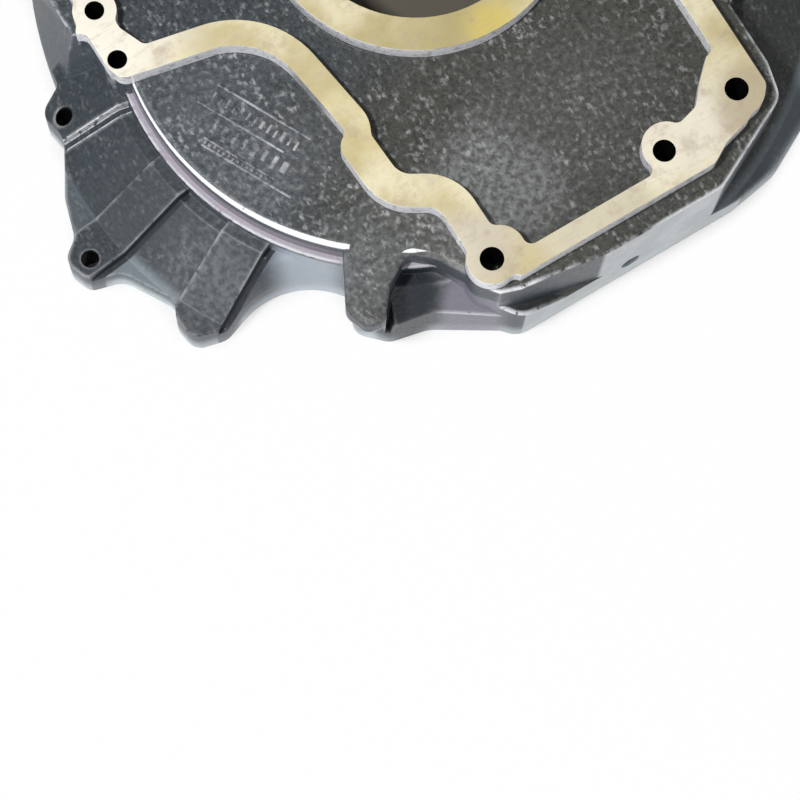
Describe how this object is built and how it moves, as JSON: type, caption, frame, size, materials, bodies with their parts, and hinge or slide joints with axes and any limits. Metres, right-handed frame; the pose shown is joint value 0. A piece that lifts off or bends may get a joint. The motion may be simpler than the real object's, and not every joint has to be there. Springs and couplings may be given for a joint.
{
  "type": "flywheel housing",
  "caption": "Cast bell-shaped flywheel housing with a scalloped, ribbed gearbox flange, a crankshaft bore and a machined gasket rim.",
  "frame": {"origin": "crankshaft axis at the gearbox flange plane", "axes": "+Z along the crankshaft towards the engine, +Y to the top of the engine, oil-pan face along -Y"},
  "size_m": [0.533, 0.4545, 0.09],
  "materials": {
    "housing": "dark grey sand-cast skin with pale machined faces on the rim and the crank boss"
  },
  "bodies": {
    "root": {"housing": "housing"}
  },
  "joints": []
}
